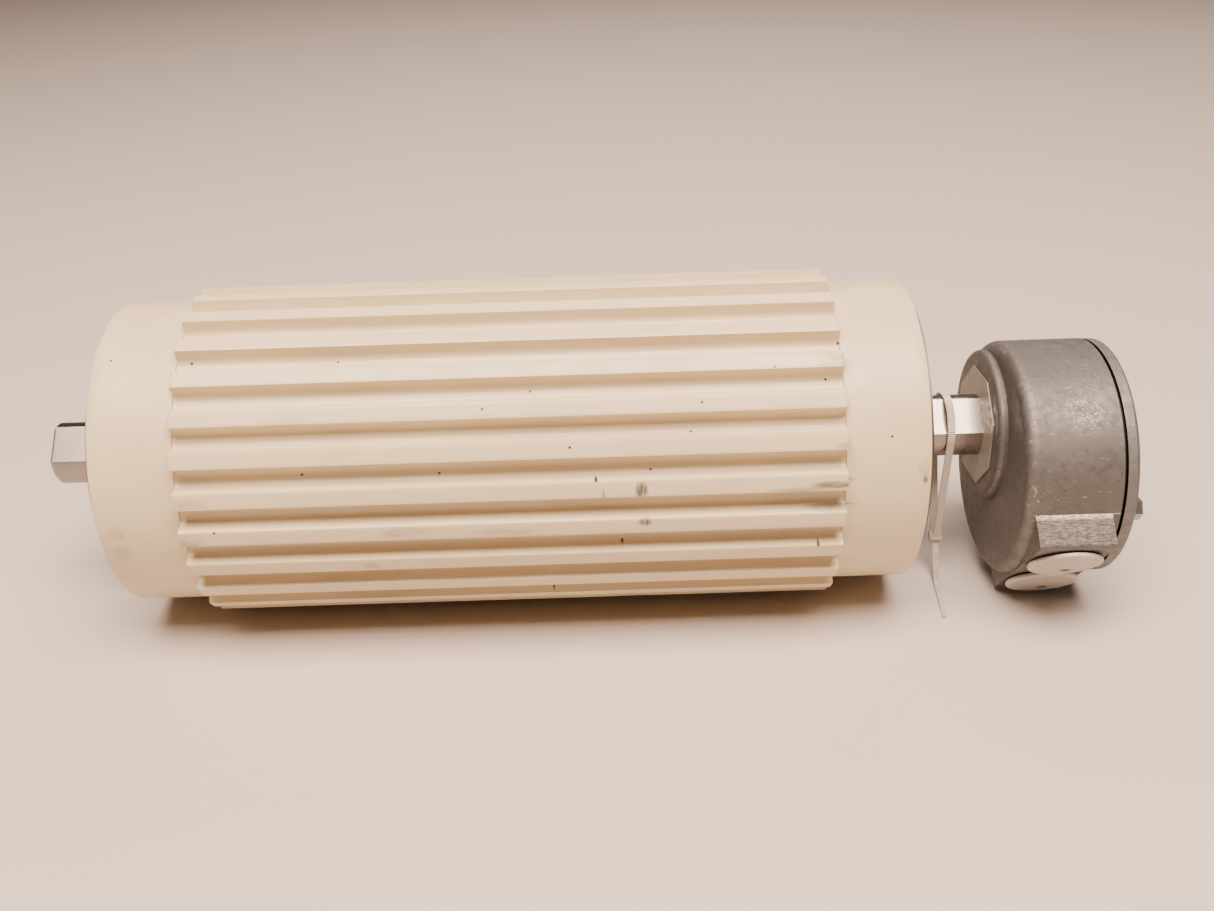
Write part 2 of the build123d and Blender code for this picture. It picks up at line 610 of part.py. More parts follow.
def make_shafts():
    """The two fixed shaft ends and the screws of the front one's flange."""
    with BuildPart() as rear_shaft:
        turn(-FLAT_START, PLATE_END, SHAFT_R)
        flatted(REAR_SHAFT_END, -FLAT_START)
        chamfer(rear_shaft.faces().sort_by(Axis.X)[0].edges(), SHAFT_CHAMFER)
        circlip_groove(-1)
    save(rear_shaft, "rear_shaft")

    with BuildPart() as front_shaft:
        turn(SHIELD_END, CUP_END, CUP_R)
        turn(SHIELD_END, CUP_FLOOR, CUP_R - CUP_WALL, mode=Mode.SUBTRACT)
        turn(CUP_END, FLAT_START, SHAFT_R)
        flatted(FLAT_START, HUB_INNER_END)
        turn(HUB_INNER_END, FRONT_SHAFT_END, THREAD_R)
        turn(CUP_FLOOR, FRONT_SHAFT_END, CABLE_BORE_R, mode=Mode.SUBTRACT)
        pegs(SHIELD_END, CUP_END, SCREW_R, FLANGE_SCREW_CIRCLE, FLANGE_SCREW_DEGS, mode=Mode.SUBTRACT)
        circlip_groove(1)
    save(front_shaft, "front_shaft")

    with BuildPart() as screws:
        pegs(SHIELD_END - FLANGE_SCREW_REACH, CUP_END, SCREW_R, FLANGE_SCREW_CIRCLE, FLANGE_SCREW_DEGS)
        pegs(CUP_END, CUP_END + FLANGE_SCREW_HEAD, SCREW_HEAD_R, FLANGE_SCREW_CIRCLE, FLANGE_SCREW_DEGS)
    save(screws, "front_flange_screws")


def make_cable():
    """The cable that leaves the winding, bends into the shaft's bore and bends again to the terminals."""
    normal = (0, -sin(radians(ENTRY_DEG)), cos(radians(ENTRY_DEG)))
    side = Plane(origin=(DRUM_X, 0, AXIS_Z), x_dir=(1, 0, 0), z_dir=normal)
    route = [
        (STACK_END + HEAD_LENGTH, -CABLE_RADIUS_FROM_AXIS),
        (CABLE_TURN_IN, -CABLE_RADIUS_FROM_AXIS),
        (CABLE_ON_AXIS, 0),
        (CABLE_BEND_AT, 0),
        (CABLE_BEND_AT, BLOCK_NEAR),
    ]
    with BuildPart() as cable:
        with BuildLine(side) as path:
            FilletPolyline(*route, radius=CABLE_BENDS)
        with BuildSketch(Plane(origin=path.wire() @ 0, z_dir=path.wire() % 0)):
            Circle(CABLE_R)
        sweep(path=path.wire())
    save(cable, "supply_cable")


# Terminal box --------------------------------------------------------------------------------------------


def box_round(start, end, outer, inner=0, mode=Mode.ADD):
    """A round or a ring about the box's own axis, which is nearer to the cable entries than the shaft's."""
    turn(start, end, outer, inner, centre=polar(BOX_OFFSET, ENTRY_DEG), mode=mode)


def cover_pegs(start, end, radius, mode=Mode.ADD):
    """Adds or cuts round pegs at the three screws of the cover."""
    pegs(start, end, radius, COVER_SCREW_CIRCLE, COVER_SCREW_DEGS, polar(BOX_OFFSET, ENTRY_DEG), mode)


def earth_peg(start, end, radius, mode=Mode.ADD):
    """Adds or cuts a round peg at the earth screw."""
    pegs(start, end, radius, EARTH_CIRCLE, [EARTH_DEG], polar(BOX_OFFSET, ENTRY_DEG), mode)


def make_terminal_box():
    """The cast box with its hub, machined octagon and block with the two cable entries."""
    boss_top = BOX_FLOOR + EARTH_BOSS_HEIGHT
    with BuildPart() as entry_block:
        with BuildSketch(entry_plane(ENTRY_FACE)) as outline:
            with Locations((0, (ENTRY_NEAR + ENTRY_FAR) / 2)):
                Rectangle(ENTRY_WIDTH, ENTRY_NEAR - ENTRY_FAR)
        extrude(outline.sketch, amount=-ENTRY_DEPTH)
        front = entry_block.faces().sort_by(Axis((0, 0, 0), entry_plane(0).z_dir))[-1]
        fillet(front.edges().filter_by(Axis.X), ENTRY_EDGE_R)

    with BuildPart() as box:
        box_round(BOX_FACE, BOX_RIM, BOX_R)
        fillet(box.faces().sort_by(Axis.X)[0].edges(), BOX_EDGE_R)
        add(entry_block.part)
        turn(HUB_RING_FACE, BOX_FLOOR, HUB_RING_R)
        fillet(box.faces().sort_by(Axis.X)[0].edges(), HUB_RING_EDGE_R)
        box_round(BOX_FLOOR, BOX_RIM, BOX_R - BOX_WALL, mode=Mode.SUBTRACT)
        turn(BOX_FLOOR, HUB_INNER_END, HUB_BOSS_R)
        with BuildSketch(across_entries(HUB_FACE)) as octagon:
            RegularPolygon(radius=OCTAGON_R, side_count=8, rotation=22.5)
        extrude(octagon.sketch, amount=BOX_FLOOR - HUB_FACE)
        cover_pegs(BOX_RIM - COVER_BOSS_LENGTH, BOX_RIM, COVER_BOSS_R)
        cover_pegs(BOX_RIM - COVER_HOLE_DEPTH, BOX_RIM, COVER_SCREW_R, mode=Mode.SUBTRACT)
        flatted(HUB_FACE, HUB_INNER_END, mode=Mode.SUBTRACT)
        earth_peg(BOX_FLOOR, boss_top, EARTH_BOSS_R)
        earth_peg(BOX_FLOOR - EARTH_HOLE_DEPTH, boss_top, EARTH_SCREW_R, mode=Mode.SUBTRACT)
        with BuildSketch(entry_plane(ENTRY_FACE)) as holes:
            with Locations(*[(0, place) for place in PLUG_PLACES.values()]):
                Circle(PLUG_THREAD_R)
        extrude(holes.sketch, amount=-ENTRY_HOLE_DEPTH, mode=Mode.SUBTRACT)
    save(box, "terminal_box")


def make_box_cover():
    """The cover with its gasket and three hexagon screws."""
    with BuildPart() as gasket:
        box_round(BOX_RIM, BOX_RIM + GASKET, GASKET_OUTER_R, GASKET_INNER_R)
        cover_pegs(BOX_RIM, BOX_RIM + GASKET, COVER_SCREW_R, mode=Mode.SUBTRACT)
    save(gasket, "cover_gasket")

    with BuildPart() as cover:
        box_round(BOX_RIM + GASKET, COVER_FACE, COVER_R)
        fillet(cover.faces().sort_by(Axis.X)[-1].edges(), COVER_EDGE_R)
        cover_pegs(BOX_RIM, COVER_FACE, COVER_SCREW_R, mode=Mode.SUBTRACT)
    save(cover, "terminal_box_cover")

    box_centre = polar(BOX_OFFSET, ENTRY_DEG)
    with BuildPart() as screws:
        cover_pegs(BOX_RIM - COVER_SCREW_REACH, COVER_FACE, COVER_SCREW_R)
        with BuildSketch(across(COVER_FACE)) as heads:
            for angle in COVER_SCREW_DEGS:
                y, z = polar(COVER_SCREW_CIRCLE, angle)
                with Locations((box_centre[0] + y, box_centre[1] + z)):
                    RegularPolygon(radius=HEX_HALF, side_count=6, major_radius=False)
        extrude(heads.sketch, amount=SCREW_HEAD)
    save(screws, "cover_screws")


def make_entry_plugs():
    """The two blind plugs that close the cable entries, on their seals."""
    for name, place in PLUG_PLACES.items():
        with BuildPart() as plug:
            with BuildSketch(entry_plane(ENTRY_FACE + PLUG_SEAL)) as head:
                with Locations((0, place)):
                    Circle(PLUG_R)
            extrude(head.sketch, amount=PLUG_HEAD)
            fillet(plug.faces().sort_by(Axis.Z)[0].edges(), PLUG_EDGE_R)
            with BuildSketch(entry_plane(ENTRY_FACE + PLUG_SEAL)) as stem:
                with Locations((0, place)):
                    Circle(PLUG_THREAD_R)
                    Circle(PLUG_THREAD_R - PLUG_WALL, mode=Mode.SUBTRACT)
            extrude(stem.sketch, amount=-PLUG_REACH)
        save(plug, name)

    with BuildPart() as seals:
        with BuildSketch(entry_plane(ENTRY_FACE)) as rings:
            with Locations(*[(0, place) for place in PLUG_PLACES.values()]):
                Circle(PLUG_R - SEAL_MARGIN)
                Circle(PLUG_THREAD_R, mode=Mode.SUBTRACT)
        extrude(rings.sketch, amount=PLUG_SEAL)
    save(seals, "entry_plug_seals")


def make_box_contents():
    """The nut that holds the box on the shaft, the terminal block and the earth screw."""
    with BuildPart() as washer:
        turn(HUB_INNER_END, NUT_START, LOCK_WASHER_R, THREAD_R)
    save(washer, "shaft_lock_washer")

    with BuildPart() as nut:
        with BuildSketch(across_entries(NUT_START)) as hexagon:
            RegularPolygon(radius=NUT_HALF, side_count=6, major_radius=False)
            Circle(THREAD_R, mode=Mode.SUBTRACT)
        extrude(hexagon.sketch, amount=NUT_WIDTH)
    save(nut, "shaft_nut")

    block_middle = ((BLOCK_NEAR + BLOCK_FAR) / 2, 0)
    with BuildPart() as block:
        with BuildSketch(across_entries(BOX_FLOOR)) as outline:
            with Locations(block_middle):
                Rectangle(BLOCK_FAR - BLOCK_NEAR, 2 * BLOCK_HALF)
        extrude(outline.sketch, amount=BLOCK_FACE - BOX_FLOOR)
    save(block, "terminal_block")

    with BuildPart() as screws:
        with BuildSketch(across_entries(BLOCK_FACE)) as heads:
            with Locations(block_middle):
                with GridLocations(TERMINAL_ROWS_APART, TERMINAL_PITCH, 2, 3):
                    Circle(TERMINAL_SCREW_R)
        extrude(heads.sketch, amount=TERMINAL_SCREW_HEAD)
    save(screws, "terminal_screws")

    boss_top = BOX_FLOOR + EARTH_BOSS_HEIGHT
    with BuildPart() as earth_screw:
        earth_peg(BOX_FLOOR - EARTH_HOLE_DEPTH, boss_top, EARTH_SCREW_R)
        earth_peg(boss_top, boss_top + EARTH_HEAD_HEIGHT, EARTH_HEAD_R)
    save(earth_screw, "earth_screw")


# Cable tie -----------------------------------------------------------------------------------------------


def make_cable_tie():
    """A closed loop that hangs from the shaft, its locking head, and its tail on the surface below."""
    rest = TAIL_ABOVE_REST + TIE_THICKNESS / 2 - AXIS_Z
    loop_r = SHAFT_R + TIE_GAP
    start = TIE_AT - TIE_WIDTH / 2
    with BuildSketch() as inside:
        Circle(loop_r)
        with Locations(TIE_HEAD):
            Circle(TIE_BOTTOM_R)
        make_hull()
    with BuildPart() as tie:
        with BuildSketch(across(start)) as loop:
            Circle(loop_r + TIE_THICKNESS)
            with Locations(TIE_HEAD):
                Circle(TIE_BOTTOM_R + TIE_THICKNESS)
            make_hull()
            add(inside.sketch, mode=Mode.SUBTRACT)
        extrude(loop.sketch, amount=TIE_WIDTH)
        with BuildSketch(across(start)) as tail:
            with BuildLine():
                tail_points = [TIE_HEAD, TAIL_BEND, (TAIL_LANDS, rest), (TAIL_ENDS, rest)]
                FilletPolyline(*tail_points, radius=TAIL_BEND_R)
            trace(line_width=TIE_THICKNESS)
        extrude(tail.sketch, amount=TIE_WIDTH)
        with BuildSketch(across(start - TIE_HEAD_MARGIN)) as lock:
            with Locations(Location(TIE_HEAD, TIE_HEAD_DEG)):
                Rectangle(TIE_HEAD_LENGTH, TIE_HEAD_HEIGHT)
        extrude(lock.sketch, amount=TIE_WIDTH + 2 * TIE_HEAD_MARGIN)
    save(tie, "cable_tie")


make_drum()
make_end_housings()
make_bearings("main", (-MAIN_BEARING_AT, MAIN_BEARING_AT), MAIN_BEARING)
make_bearings("rotor", ROTOR_BEARINGS_AT, ROTOR_BEARING)
make_gears()
make_gearbox()
make_motor()
make_shafts()
make_cable()
make_terminal_box()
make_box_cover()
make_entry_plugs()
make_box_contents()
make_cable_tie()
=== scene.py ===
import json
from math import acos, atan2, cos, hypot, pi, radians, sin, tan

import bmesh
import bpy
from mathutils import Matrix, Vector, noise


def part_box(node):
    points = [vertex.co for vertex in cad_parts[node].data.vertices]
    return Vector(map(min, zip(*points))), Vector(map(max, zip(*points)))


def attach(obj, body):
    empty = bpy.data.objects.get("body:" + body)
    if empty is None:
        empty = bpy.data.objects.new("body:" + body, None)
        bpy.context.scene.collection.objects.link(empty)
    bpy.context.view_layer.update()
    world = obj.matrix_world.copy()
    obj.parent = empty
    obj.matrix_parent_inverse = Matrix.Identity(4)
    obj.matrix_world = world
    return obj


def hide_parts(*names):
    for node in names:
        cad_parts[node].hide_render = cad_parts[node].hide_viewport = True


# A conveyor drum motor. Metres; +X runs along the drum axis to the terminal box, +Z up.
# Sizes of the machine are in mm: stations along the axis from the middle of the drum, and places across it.
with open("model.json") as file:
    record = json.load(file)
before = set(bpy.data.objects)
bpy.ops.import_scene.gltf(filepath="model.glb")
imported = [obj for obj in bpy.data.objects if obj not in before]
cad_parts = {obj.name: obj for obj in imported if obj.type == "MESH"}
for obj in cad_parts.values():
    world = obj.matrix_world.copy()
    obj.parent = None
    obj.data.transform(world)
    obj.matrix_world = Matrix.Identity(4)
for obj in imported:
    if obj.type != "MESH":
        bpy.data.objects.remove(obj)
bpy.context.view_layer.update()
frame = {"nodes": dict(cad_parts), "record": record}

MM = 0.001
AXIS_X = sum(corner.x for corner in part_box("drum_tube")) / 2
AXIS_Z = sum(corner.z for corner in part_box("drum_tube")) / 2
AXIS = Vector((AXIS_X, 0, AXIS_Z))

# The terminal box: its machined octagon, its rounded edge, its joint with the cover and its entry block.
OCTAGON_X = AXIS_X + 187.45 * MM
BOX_EDGE_X = AXIS_X + 191.2 * MM
COVER_JOINT_X = AXIS_X + 227.7 * MM
FLAT_NORMAL = Vector((0, cos(radians(132.5)), sin(radians(132.5))))
ENTRY_OUT = Vector((0, cos(radians(222.5)), sin(radians(222.5))))
SAWN_HEIGHT = AXIS.dot(FLAT_NORMAL) + 32.0 * MM
BLOCK_TOP = AXIS.dot(ENTRY_OUT) + 49.1 * MM
# Place of the painted glints on the upper front of the box, in mm from the middle of the drum, and their
# reach.
GLINT_PLACE, GLINT_REACH = (214.0, -44.5, 28.5), (13 * MM, 12 * MM, 13 * MM)


# The rubber lagging: radii, half lengths, width of a land, slope of a flank, and roundings.
# HIGH_EDGE is the radius from which the wear of the ribs' tops begins.
RIB_COUNT = 27
RIB_R, COLLAR_R, FLOOR_R, BORE_R = 65.6, 60.5, 59.3, 56.65
LAGGING_HALF, RIB_HALF = 153.8, 122.4
LAND_DEG = 5.44
FLANK = radians(12.0)
ROOT_R = 3.0
EDGE = 0.35
HIGH_EDGE = 64.0


# Camera, floor and light ---------------------------------------------------------------------------


CAMERA_PLACE = (34.3, -450.8, 233.2)
CAMERA_LENS, SENSOR_WIDTH = 36.55, 36.0
CAMERA_TILT, CAMERA_YAW, CAMERA_ROLL = radians(61.73), radians(-0.144), radians(-1.744)
LAMP_TARGET = (0, 0, 0.05)
FLOOR_HALF = 6.0


def make_camera():
    """Looks along +Y and down at the drum, slightly rolled, from about half a metre."""
    data = bpy.data.cameras.new("camera")
    data.sensor_width, data.lens = SENSOR_WIDTH, CAMERA_LENS
    camera = bpy.data.objects.new("camera", data)
    bpy.context.scene.collection.objects.link(camera)
    camera.location = AXIS + Vector(CAMERA_PLACE) * MM
    tilted = Matrix.Rotation(CAMERA_YAW, 4, "Z") @ Matrix.Rotation(CAMERA_TILT, 4, "X")
    camera.rotation_euler = (tilted @ Matrix.Rotation(CAMERA_ROLL, 4, "Z")).to_euler()
    bpy.context.scene.camera = camera


def area_light(name, place, size, power, colour):
    """A rectangular lamp that faces the object."""
    data = bpy.data.lights.new(name, "AREA")
    data.shape, data.size, data.size_y = "RECTANGLE", size[0], size[1]
    data.energy, data.color = power, colour
    light = bpy.data.objects.new(name, data)
    bpy.context.scene.collection.objects.link(light)
    light.location = place
    light.rotation_euler = (Vector(place) - Vector(LAMP_TARGET)).to_track_quat("Z", "Y").to_euler()


def make_studio():
    """A warm, dim surrounding, a broad lamp above the front, a weak one behind, and the table."""
    world = bpy.data.worlds.new("studio")
    bpy.context.scene.world = world
    world.use_nodes = True
    surrounding = world.node_tree.nodes["Background"].inputs
    surrounding["Color"].default_value = (1.0, 0.80, 0.68, 1)
    surrounding["Strength"].default_value = 0.10
    area_light("ceiling", (0.0, -0.50, 1.5), (1.4, 0.8), 94.0, (1.0, 0.80, 0.64))
    area_light("behind", (0.2, 1.3, 1.3), (1.2, 0.6), 12.0, (1.0, 0.84, 0.72))
    mesh = bpy.data.meshes.new("floor")
    corners = [(x * FLOOR_HALF, y * FLOOR_HALF, 0) for x, y in ((-1, -1), (1, -1), (1, 1), (-1, 1))]
    mesh.from_pydata(corners, [], [(0, 1, 2, 3)])
    floor = bpy.data.objects.new("floor", mesh)
    bpy.context.scene.collection.objects.link(floor)
    floor.data.materials.append(floor_material())


# Materials -----------------------------------------------------------------------------------------


class Shader:
    """A principled material and short ways to add nodes to it."""

    def __init__(self, name, colour, roughness, metallic=0.0):
        self.material = bpy.data.materials.new(name)
        self.material.use_nodes = True
        self.nodes = self.material.node_tree.nodes
        self.links = self.material.node_tree.links
        self.surface = self.nodes["Principled BSDF"]
        self.surface.inputs["Base Color"].default_value = (*colour, 1)
        self.surface.inputs["Roughness"].default_value = roughness
        self.surface.inputs["Metallic"].default_value = metallic
        self.place = self.nodes.new("ShaderNodeTexCoord").outputs["Object"]

    def put(self, socket, value):
        """Links a socket's value, or sets a plain one."""
        if isinstance(value, bpy.types.NodeSocket):
            self.links.new(value, socket)
        else:
            socket.default_value = value

    def node(self, kind, inputs, **settings):
        """A new node with these settings and inputs."""
        made = self.nodes.new(kind)
        for key, value in settings.items():
            setattr(made, key, value)
        for key, value in inputs.items():
            self.put(made.inputs[key], value)
        return made

    def maths(self, operation, a, b=0.0, c=0.0):
        return self.node("ShaderNodeMath", {0: a, 1: b, 2: c}, operation=operation).outputs[0]

    def vector(self, operation, a, b=(0, 0, 0)):
        """The outputs of a vector operation: a vector, and a value where it gives one."""
        return self.node("ShaderNodeVectorMath", {0: a, 1: b}, operation=operation).outputs

    def parts(self):
        """The three coordinates of the place, in metres."""
        return self.node("ShaderNodeSeparateXYZ", {0: self.place}).outputs

    def stretched(self, scale, shift=(0, 0, 0)):
        inputs = {"Vector": self.place, "Scale": scale, "Location": shift}
        return self.node("ShaderNodeMapping", inputs).outputs[0]

    def noise(self, scale, detail=4.0, roughness=0.5, place=None):
        inputs = {"Vector": place or self.place, "Scale": scale, "Detail": detail, "Roughness": roughness}
        return self.node("ShaderNodeTexNoise", inputs).outputs[0]

    def between(self, value, low, high):
        """0 below low, 1 above high and smooth between them."""
        inputs = {"Value": value, "From Min": low, "From Max": high}
        return self.node("ShaderNodeMapRange", inputs, interpolation_type="SMOOTHSTEP").outputs[0]

    def blend(self, factor, a, b):
        made = self.node("ShaderNodeMix", {0: factor}, data_type="RGBA")
        for socket, value in ((made.inputs[6], a), (made.inputs[7], b)):
            self.put(socket, (*value, 1) if isinstance(value, tuple) else value)
        return made.outputs[2]

    def stain(self, tone, mask, amount, colour):
        """A tone changed to a colour where the mask is, in full where mask and amount are 1."""
        return self.blend(self.maths("MULTIPLY", mask, amount), tone, colour)

    def colour(self, value):
        self.put(self.surface.inputs["Base Color"], value)

    def rough(self, value):
        self.put(self.surface.inputs["Roughness"], value)

    def bump(self, height, strength, depth):
        """Bumps with a depth in metres, added to those that are there already."""
        inputs = {"Height": height, "Strength": strength, "Distance": depth}
        socket = self.surface.inputs["Normal"]
        if socket.links:
            inputs["Normal"] = socket.links[0].from_socket
        self.put(socket, self.node("ShaderNodeBump", inputs).outputs[0])

    def round_drum(self):
        """Station along the drum and length round it, in metres, as a flat place."""
        parts = self.parts()
        height = self.maths("SUBTRACT", parts[2], AXIS_Z)
        angle = self.maths("ARCTAN2", height, self.maths("MULTIPLY", parts[1], -1.0))
        inputs = {0: self.maths("SUBTRACT", parts[0], AXIS_X), 1: self.maths("MULTIPLY", angle, RIB_R * MM)}
        return self.node("ShaderNodeCombineXYZ", inputs).outputs[0]

    def share_of_reach(self, place, middle, reach):
        """0 at the middle and 1 on the ellipsoid of that reach round it."""
        offset = self.vector("SUBTRACT", place, middle)[0]
        return self.vector("LENGTH", self.vector("DIVIDE", offset, reach)[0])["Value"]

    def on_drum(self, flat, mark, reach):
        """1 at a mark, a station in mm and an angle in degrees, falling to 0 at its reach in mm."""
        middle = (mark[0] * MM, radians(mark[1]) * RIB_R * MM, 0)
        return self.between(self.share_of_reach(flat, middle, (reach[0] * MM, reach[1] * MM, 1)), 1.0, 0.35)

    def near(self, place, reach):
        """1 at a place, falling to 0 at an ellipsoid of that reach round it."""
        return self.between(self.share_of_reach(self.place, place, reach), 1.0, 0.2)

    def spots(self, place, cell, radius, share):
        """Small round spots of a radius, in a share of the cells of about that size, all in metres."""
        cells = self.node("ShaderNodeTexVoronoi", {"Vector": place, "Scale": 1 / cell})
        near = self.between(cells.outputs["Distance"], radius / cell, 0.6 * radius / cell)
        red = self.node("ShaderNodeSeparateColor", {0: cells.outputs["Color"]}).outputs[0]
        return self.maths("MULTIPLY", near, self.maths("LESS_THAN", red, share))

    def from_axis(self):
        """Distance from the drum axis, in metres."""
        offset = self.vector("SUBTRACT", self.place, tuple(AXIS))[0]
        return self.vector("LENGTH", self.vector("MULTIPLY", offset, (0, 1, 1))[0])["Value"]

    def edge_of_box(self, along):
        """1 on the rounded edge between the face and the side of the terminal box."""
        rising = self.between(along, BOX_EDGE_X, BOX_EDGE_X + 0.001)
        falling = self.between(along, BOX_EDGE_X + 0.005, BOX_EDGE_X + 0.003)
        return self.maths("MULTIPLY", rising, falling)


def floor_material():
    """Pale matt table with faint clouds."""
    shader = Shader("pale_table", (0.74, 0.67, 0.63), 0.55)
    shader.colour(shader.blend(shader.noise(3.0), (0.62, 0.545, 0.495), (0.59, 0.515, 0.465)))
    return shader.material


# Marks on the rubber. Each has its station in mm and its angle in degrees up from the front of the drum.
# Streaks and smudges also have their reach in mm, along the drum and round it, and how dark they are.
STREAKS = [
    ((47.3, 9.6), (3.2, 4.2), 0.95),
    ((48.6, -1.9), (3.4, 2.2), 0.95),
    ((33.4, 8.4), (1.0, 3.0), 0.6),
]
SMUDGES = [
    ((119, 50), (11, 4.5), 0.45),
    ((117, 9.2), (11, 2.2), 0.9),
    ((104, 8), (14, 1.3), 0.5),
    ((117, 0), (13, 0.8), 0.8),
    ((121, 22), (5, 2), 0.4),
    ((-117, 9), (9, 3.5), 0.4),
    ((-119, -4), (7, 4), 0.55),
    ((-40, -3), (11, 3), 0.4),
    ((-3, -4), (16, 2.5), 0.4),
    ((-54, -17), (5, 2.5), 0.35),
    ((-147, -8), (5, 12), 0.35),
    ((151, 12), (3, 6), 0.35),
    ((151.5, 8.5), (1.2, 3), 0.95),
]
SPECKS = [
    (-76, 17), (-26, 16), (-25, 7), (-9, 37), (-63, 58), (-117, 59), (-109, -1), (31, 13),
    (51, 15), (40, -13), (22, 24), (8, 44), (97, 48), (113, -14), (70, 37), (122, 59),
    (66, 28), (116, 45), (13, -40), (139, 24), (-147, 61),
]
SPECK_REACH = (0.75, 0.75)
STREAK_COLOUR, SMUDGE_COLOUR, SPECK_COLOUR = (0.05, 0.04, 0.03), (0.14, 0.12, 0.09), (0.05, 0.025, 0.015)
FINE_SPECK_COLOUR = (0.30, 0.20, 0.12)
BEHIND_Y = 0.012


def marked(shader, tone):
    """A tone with the marks above, more specks at random behind the axis, and fine ones all round."""
    flat = shader.round_drum()
    streaks = shader.between(shader.noise(1.0, 6.0, 0.65, shader.stretched((700, 40, 40))), 0.36, 0.58)
    clouds = shader.between(shader.noise(1.0, 5.0, 0.6, shader.stretched((60, 260, 260))), 0.30, 0.60)
    for marks, texture, colour in ((STREAKS, streaks, STREAK_COLOUR), (SMUDGES, clouds, SMUDGE_COLOUR)):
        for mark, reach, darkness in marks:
            shape = shader.maths("MULTIPLY", shader.on_drum(flat, mark, reach), texture)
            tone = shader.stain(tone, shape, darkness, colour)
    for mark in SPECKS:
        tone = shader.blend(shader.on_drum(flat, mark, SPECK_REACH), tone, SPECK_COLOUR)
    behind = shader.maths("GREATER_THAN", shader.parts()[1], BEHIND_Y)
    tone = shader.stain(tone, behind, shader.spots(flat, 0.03, 0.0006, 0.35), SPECK_COLOUR)
    return shader.blend(shader.spots(flat, 0.012, 0.00028, 0.3), tone, FINE_SPECK_COLOUR)


def rubber_material():
    """Ivory rubber with dust and painted shade in its grooves, dark specks and a few smudges."""
    shader = Shader("ivory_rubber", (0.78, 0.65, 0.48), 0.62)
    tone = shader.blend(shader.noise(9.0, 5.0), (0.67, 0.55, 0.365), (0.73, 0.605, 0.405))
    # Painted shade in the grooves, mixed with dust: the rubber darkens with depth below the lands.
    grooves = shader.between(shader.from_axis(), 64.5 * MM, 59.5 * MM)
    dust_and_shade = shader.maths("MULTIPLY", grooves, shader.between(shader.noise(22.0, 6.0), 0.35, 0.7))
    tone = shader.stain(tone, dust_and_shade, 0.25, (0.48, 0.36, 0.24))
    grime = shader.between(shader.noise(1.0, 7.0, 0.6, shader.stretched((18, 34, 34))), 0.58, 0.74)
    tone = shader.stain(tone, grime, 0.28, (0.38, 0.32, 0.24))
    shader.colour(marked(shader, tone))
    shader.rough(shader.between(shader.noise(60.0), -0.6, 1.9))
    shader.bump(shader.noise(900.0, 3.0), 0.25, 0.0002)
    shader.bump(shader.noise(1.0, 4.0, 0.5, shader.stretched((20, 500, 500))), 0.15, 0.0003)
    return shader.material


def scaled(colour, share):
    return tuple(share * part for part in colour)


def steel_material(name, colour, roughness, pits=0.0):
    """Turned or ground steel, with fine rings across the axis."""
    shader = Shader(name, colour, roughness, 1.0)
    rings = shader.noise(1.0, 3.0, 0.6, shader.stretched((2600, 40, 40)))
    patches = shader.noise(70.0, 4.0)
    tone = shader.blend(patches, scaled(colour, 0.86), colour)
    if pits:
        tone = shader.blend(shader.spots(shader.place, 0.004, 0.0004, pits), tone, (0.10, 0.08, 0.07))
    shader.colour(tone)
    shader.rough(shader.maths("MULTIPLY_ADD", rings, 0.08, roughness - 0.04))
    shader.bump(rings, 0.12, 0.00002)
    return shader.material


def cast_material(name, colour, glint_share):
    """Raw cast aluminium: fine grain, faint stains, painted glints in bright points, and short scratches."""
    shader = Shader(name, colour, 0.45, 0.85)
    stains = shader.between(shader.noise(55.0, 6.0, 0.6), 0.3, 0.7)
    tone = shader.blend(stains, scaled(colour, 0.94), scaled(colour, 1.06))
    grain = shader.noise(1700.0, 3.0, 0.7)
    patches = shader.between(shader.noise(45.0, 3.0), 0.45, 0.66)
    # Painted glints: bright points of colour in patches of the grain, standing in for light caught by it.
    points = shader.maths("MULTIPLY", shader.between(grain, 0.64, 0.70), patches)
    tone = shader.stain(tone, points, glint_share, (0.85, 0.80, 0.75))
    pits = shader.between(shader.noise(700.0, 4.0, 0.6), 0.38, 0.29)
    tone = shader.stain(tone, pits, 0.7, scaled(colour, 0.3))
    drawn = shader.stretched((220, 1500, 1500), (3, 0, 0))
    scratches = shader.between(shader.noise(1.0, 2.0, 0.4, drawn), 0.71, 0.75)
    tone = shader.stain(tone, scratches, 0.4, (0.70, 0.66, 0.62))
    shader.rough(shader.between(shader.noise(300.0, 4.0), -0.95, 1.55))
    shader.bump(grain, 0.5, 0.00006)
    shader.bump(shader.noise(420.0, 5.0, 0.6), 0.5, 0.00015)
    shader.colour(tone)
    return shader, tone


def shaded_joint(shader, tone):
    """A tone with the joint between the terminal box and its cover blackened as painted shade in the gap."""
    along = shader.parts()[0]
    offset = shader.maths("ABSOLUTE", shader.maths("SUBTRACT", along, COVER_JOINT_X))
    return shader.blend(shader.between(offset, 0.75 * MM, 0.62 * MM), tone, (0.006, 0.005, 0.004))


def cover_material():
    """The cover's casting, lighter than the box and with fainter painted glints."""
    shader, tone = cast_material("cover_casting", (0.21, 0.199, 0.194), 0.6)
    shader.colour(shaded_joint(shader, tone))
    return shader.material


def wear_and_glints(shader, tone, along):
    """A tone with bright wear on the rounded edge of the box and painted glints in a patch at its upper
    front.
    """
    wear = shader.between(shader.noise(420.0, 5.0, 0.7), 0.60, 0.70)
    worn_edge = shader.maths("MULTIPLY", shader.edge_of_box(along), wear)
    tone = shader.stain(tone, worn_edge, 0.7, (0.62, 0.57, 0.53))
    # Painted highlight: bright streaky specks in a patch on the upper front of the box.
    glint_patch = shader.near(tuple(AXIS + Vector(GLINT_PLACE) * MM), GLINT_REACH)
    glints = shader.between(shader.noise(1.0, 3.0, 0.7, shader.stretched((900, 1900, 1900))), 0.52, 0.62)
    return shader.stain(tone, shader.maths("MULTIPLY", glint_patch, glints), 0.8, (0.62, 0.58, 0.53))


